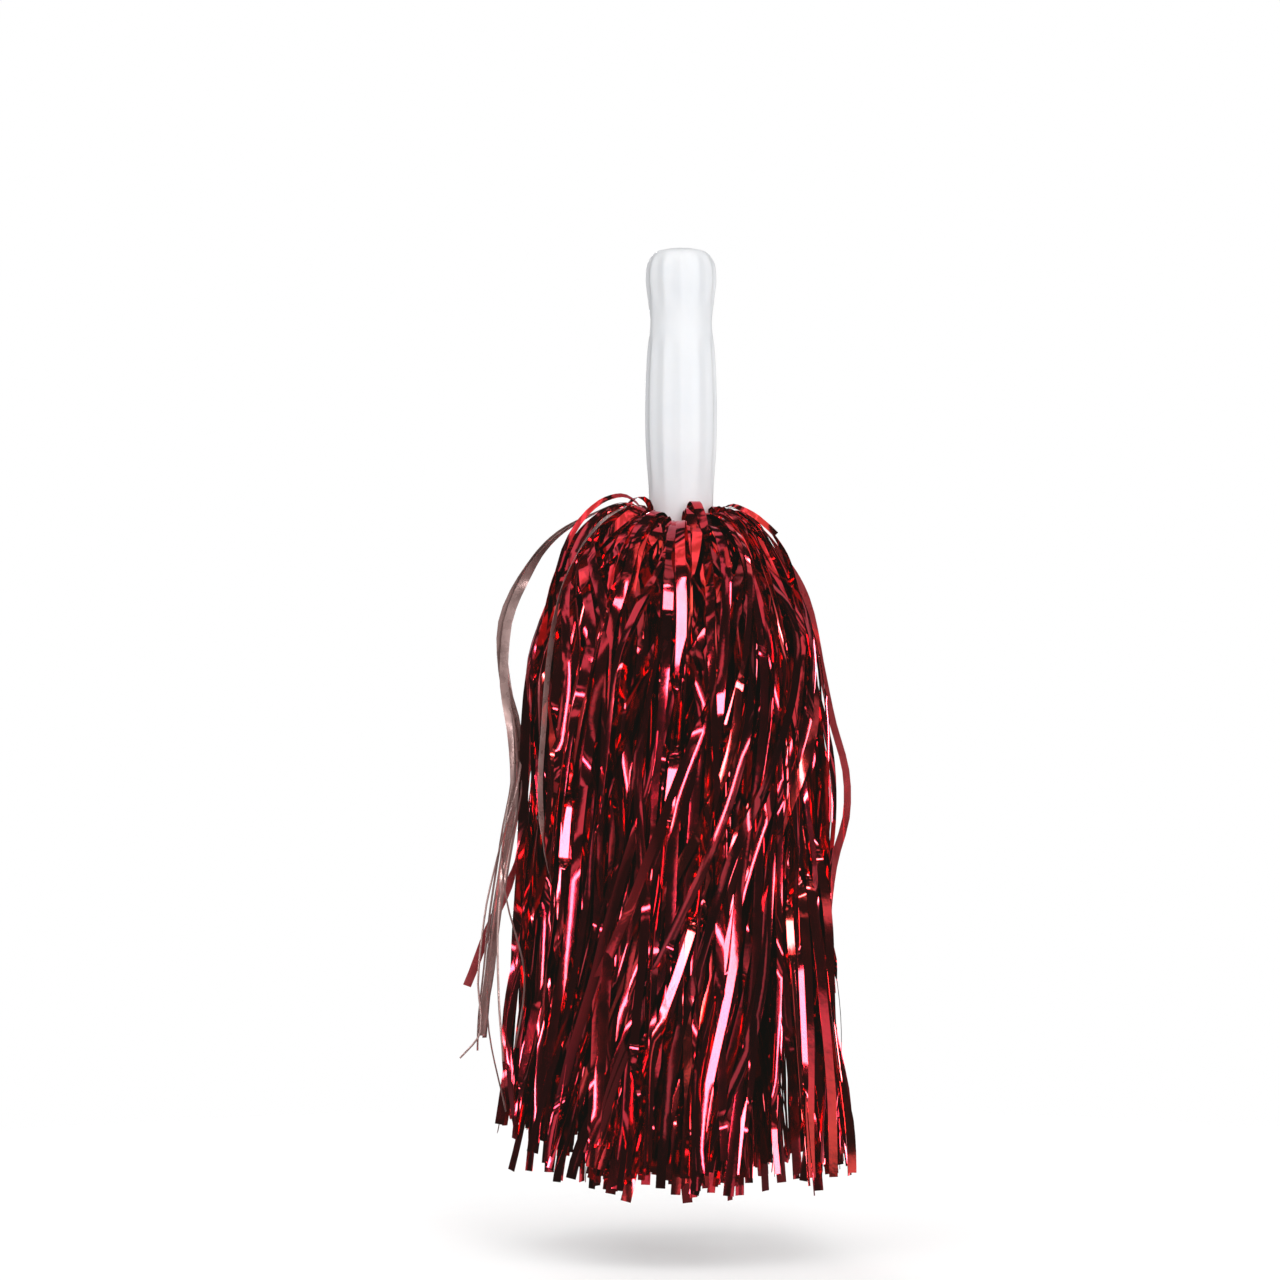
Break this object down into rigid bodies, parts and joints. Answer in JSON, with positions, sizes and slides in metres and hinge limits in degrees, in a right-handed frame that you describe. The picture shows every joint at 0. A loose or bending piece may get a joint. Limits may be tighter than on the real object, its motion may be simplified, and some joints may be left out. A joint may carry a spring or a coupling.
{
  "type": "cheer pom pom",
  "caption": "Cheer pom pom: a fluted white plastic baton handle with a hanging fringe of narrow red metallised film strips that fold back over its open end and swing outward in locks.",
  "frame": {"origin": "centre of the flat face on the handle's closed end, with the pom pom hanging handle up", "axes": "+Z along the handle, out of its closed end, so the fringe hangs towards -Z; -Y is the front and +X its right"},
  "size_m": [0.1465, 0.1285, 0.3556],
  "materials": {
    "handle_plastic": "satin",
    "peg_plastic": "satin",
    "red_film": "polished",
    "pale_film": "gloss",
    "clear_tape": "gloss",
    "tie_wire": "satin"
  },
  "bodies": {
    "handle": {"handle_shell": "handle_plastic", "fringe_peg": "peg_plastic", "film_header_1": "red_film", "film_header_2": "red_film", "film_header_3": "red_film", "film_header_4": "red_film", "tape_wrap": "clear_tape", "tie_wire": "tie_wire"},
    "outer_lock_01": {"outer_lock_01": "red_film", "stray_strip_3": "red_film"},
    "outer_lock_02": {"outer_lock_02": "red_film"},
    "outer_lock_03": {"outer_lock_03": "red_film"},
    "outer_lock_04": {"outer_lock_04": "red_film", "stray_strip_4": "red_film"},
    "outer_lock_05": {"outer_lock_05": "red_film"},
    "outer_lock_06": {"outer_lock_06": "red_film"},
    "outer_lock_07": {"outer_lock_07": "red_film", "stray_strip_1": "pale_film", "stray_strip_2": "red_film"},
    "outer_lock_08": {"outer_lock_08": "red_film"},
    "outer_lock_09": {"outer_lock_09": "red_film"},
    "outer_lock_10": {"outer_lock_10": "red_film", "stray_strip_5": "red_film"},
    "outer_lock_11": {"outer_lock_11": "red_film"},
    "outer_lock_12": {"outer_lock_12": "red_film"},
    "inner_lock_01": {"inner_lock_01": "red_film"},
    "inner_lock_02": {"inner_lock_02": "red_film"},
    "inner_lock_03": {"inner_lock_03": "red_film"},
    "inner_lock_04": {"inner_lock_04": "red_film"},
    "inner_lock_05": {"inner_lock_05": "red_film"},
    "inner_lock_06": {"inner_lock_06": "red_film"},
    "inner_lock_07": {"inner_lock_07": "red_film"},
    "inner_lock_08": {"inner_lock_08": "red_film"},
    "inner_lock_09": {"inner_lock_09": "red_film"},
    "inner_lock_10": {"inner_lock_10": "red_film"},
    "inner_lock_11": {"inner_lock_11": "red_film"},
    "inner_lock_12": {"inner_lock_12": "red_film"}
  },
  "joints": [
    {"name": "outer_lock_01_swing", "type": "hinge", "parent": "handle", "child": "outer_lock_01", "pos_m": [0.02, 0, -0.096], "axis": [0, -1, 0], "range_deg": [-4, 80], "stiffness_Nm_per_rad": 0.004, "springref_deg": 8.25},
    {"name": "outer_lock_02_swing", "type": "hinge", "parent": "handle", "child": "outer_lock_02", "pos_m": [0.01732, 0.01, -0.096], "axis": [0.5, -0.866, 0], "range_deg": [-4, 80], "stiffness_Nm_per_rad": 0.004, "springref_deg": 8.25},
    {"name": "outer_lock_03_swing", "type": "hinge", "parent": "handle", "child": "outer_lock_03", "pos_m": [0.01, 0.01732, -0.096], "axis": [0.866, -0.5, 0], "range_deg": [-4, 80], "stiffness_Nm_per_rad": 0.004, "springref_deg": 8.25},
    {"name": "outer_lock_04_swing", "type": "hinge", "parent": "handle", "child": "outer_lock_04", "pos_m": [0, 0.02, -0.096], "axis": [1, 0, 0], "range_deg": [-4, 80], "stiffness_Nm_per_rad": 0.004, "springref_deg": 8.25},
    {"name": "outer_lock_05_swing", "type": "hinge", "parent": "handle", "child": "outer_lock_05", "pos_m": [-0.01, 0.01732, -0.096], "axis": [0.866, 0.5, 0], "range_deg": [-4, 80], "stiffness_Nm_per_rad": 0.004, "springref_deg": 8.25},
    {"name": "outer_lock_06_swing", "type": "hinge", "parent": "handle", "child": "outer_lock_06", "pos_m": [-0.01732, 0.01, -0.096], "axis": [0.5, 0.866, 0], "range_deg": [-4, 80], "stiffness_Nm_per_rad": 0.004, "springref_deg": 8.25},
    {"name": "outer_lock_07_swing", "type": "hinge", "parent": "handle", "child": "outer_lock_07", "pos_m": [-0.02, 0, -0.096], "axis": [0, 1, 0], "range_deg": [-4, 80], "stiffness_Nm_per_rad": 0.004, "springref_deg": 8.25},
    {"name": "outer_lock_08_swing", "type": "hinge", "parent": "handle", "child": "outer_lock_08", "pos_m": [-0.01732, -0.01, -0.096], "axis": [-0.5, 0.866, 0], "range_deg": [-4, 80], "stiffness_Nm_per_rad": 0.004, "springref_deg": 8.25},
    {"name": "outer_lock_09_swing", "type": "hinge", "parent": "handle", "child": "outer_lock_09", "pos_m": [-0.01, -0.01732, -0.096], "axis": [-0.866, 0.5, 0], "range_deg": [-4, 80], "stiffness_Nm_per_rad": 0.004, "springref_deg": 8.25},
    {"name": "outer_lock_10_swing", "type": "hinge", "parent": "handle", "child": "outer_lock_10", "pos_m": [0, -0.02, -0.096], "axis": [-1, 0, 0], "range_deg": [-4, 80], "stiffness_Nm_per_rad": 0.004, "springref_deg": 8.25},
    {"name": "outer_lock_11_swing", "type": "hinge", "parent": "handle", "child": "outer_lock_11", "pos_m": [0.01, -0.01732, -0.096], "axis": [-0.866, -0.5, 0], "range_deg": [-4, 80], "stiffness_Nm_per_rad": 0.004, "springref_deg": 8.25},
    {"name": "outer_lock_12_swing", "type": "hinge", "parent": "handle", "child": "outer_lock_12", "pos_m": [0.01732, -0.01, -0.096], "axis": [-0.5, -0.866, 0], "range_deg": [-4, 80], "stiffness_Nm_per_rad": 0.004, "springref_deg": 8.25},
    {"name": "inner_lock_01_swing", "type": "hinge", "parent": "handle", "child": "inner_lock_01", "pos_m": [0.0125, 0, -0.108], "axis": [0, -1, 0], "range_deg": [-2, 36.5], "stiffness_Nm_per_rad": 0.002, "springref_deg": 3.7},
    {"name": "inner_lock_02_swing", "type": "hinge", "parent": "handle", "child": "inner_lock_02", "pos_m": [0.01082, 0.00625, -0.108], "axis": [0.5, -0.866, 0], "range_deg": [-2, 36.5], "stiffness_Nm_per_rad": 0.002, "springref_deg": 3.7},
    {"name": "inner_lock_03_swing", "type": "hinge", "parent": "handle", "child": "inner_lock_03", "pos_m": [0.00625, 0.01082, -0.108], "axis": [0.866, -0.5, 0], "range_deg": [-2, 36.5], "stiffness_Nm_per_rad": 0.002, "springref_deg": 3.7},
    {"name": "inner_lock_04_swing", "type": "hinge", "parent": "handle", "child": "inner_lock_04", "pos_m": [0, 0.0125, -0.108], "axis": [1, 0, 0], "range_deg": [-2, 36.5], "stiffness_Nm_per_rad": 0.002, "springref_deg": 3.7},
    {"name": "inner_lock_05_swing", "type": "hinge", "parent": "handle", "child": "inner_lock_05", "pos_m": [-0.00625, 0.01082, -0.108], "axis": [0.866, 0.5, 0], "range_deg": [-2, 36.5], "stiffness_Nm_per_rad": 0.002, "springref_deg": 3.7},
    {"name": "inner_lock_06_swing", "type": "hinge", "parent": "handle", "child": "inner_lock_06", "pos_m": [-0.01082, 0.00625, -0.108], "axis": [0.5, 0.866, 0], "range_deg": [-2, 36.5], "stiffness_Nm_per_rad": 0.002, "springref_deg": 3.7},
    {"name": "inner_lock_07_swing", "type": "hinge", "parent": "handle", "child": "inner_lock_07", "pos_m": [-0.0125, 0, -0.108], "axis": [0, 1, 0], "range_deg": [-2, 36.5], "stiffness_Nm_per_rad": 0.002, "springref_deg": 3.7},
    {"name": "inner_lock_08_swing", "type": "hinge", "parent": "handle", "child": "inner_lock_08", "pos_m": [-0.01082, -0.00625, -0.108], "axis": [-0.5, 0.866, 0], "range_deg": [-2, 36.5], "stiffness_Nm_per_rad": 0.002, "springref_deg": 3.7},
    {"name": "inner_lock_09_swing", "type": "hinge", "parent": "handle", "child": "inner_lock_09", "pos_m": [-0.00625, -0.01082, -0.108], "axis": [-0.866, 0.5, 0], "range_deg": [-2, 36.5], "stiffness_Nm_per_rad": 0.002, "springref_deg": 3.7},
    {"name": "inner_lock_10_swing", "type": "hinge", "parent": "handle", "child": "inner_lock_10", "pos_m": [0, -0.0125, -0.108], "axis": [-1, 0, 0], "range_deg": [-2, 36.5], "stiffness_Nm_per_rad": 0.002, "springref_deg": 3.7},
    {"name": "inner_lock_11_swing", "type": "hinge", "parent": "handle", "child": "inner_lock_11", "pos_m": [0.00625, -0.01082, -0.108], "axis": [-0.866, -0.5, 0], "range_deg": [-2, 36.5], "stiffness_Nm_per_rad": 0.002, "springref_deg": 3.7},
    {"name": "inner_lock_12_swing", "type": "hinge", "parent": "handle", "child": "inner_lock_12", "pos_m": [0.01082, -0.00625, -0.108], "axis": [-0.5, -0.866, 0], "range_deg": [-2, 36.5], "stiffness_Nm_per_rad": 0.002, "springref_deg": 3.7}
  ],
  "couplings": [
    {"joint": "inner_lock_01_swing", "follows": "outer_lock_01_swing", "ratio": 0.45},
    {"joint": "inner_lock_02_swing", "follows": "outer_lock_02_swing", "ratio": 0.45},
    {"joint": "inner_lock_03_swing", "follows": "outer_lock_03_swing", "ratio": 0.45},
    {"joint": "inner_lock_04_swing", "follows": "outer_lock_04_swing", "ratio": 0.45},
    {"joint": "inner_lock_05_swing", "follows": "outer_lock_05_swing", "ratio": 0.45},
    {"joint": "inner_lock_06_swing", "follows": "outer_lock_06_swing", "ratio": 0.45},
    {"joint": "inner_lock_07_swing", "follows": "outer_lock_07_swing", "ratio": 0.45},
    {"joint": "inner_lock_08_swing", "follows": "outer_lock_08_swing", "ratio": 0.45},
    {"joint": "inner_lock_09_swing", "follows": "outer_lock_09_swing", "ratio": 0.45},
    {"joint": "inner_lock_10_swing", "follows": "outer_lock_10_swing", "ratio": 0.45},
    {"joint": "inner_lock_11_swing", "follows": "outer_lock_11_swing", "ratio": 0.45},
    {"joint": "inner_lock_12_swing", "follows": "outer_lock_12_swing", "ratio": 0.45}
  ]
}
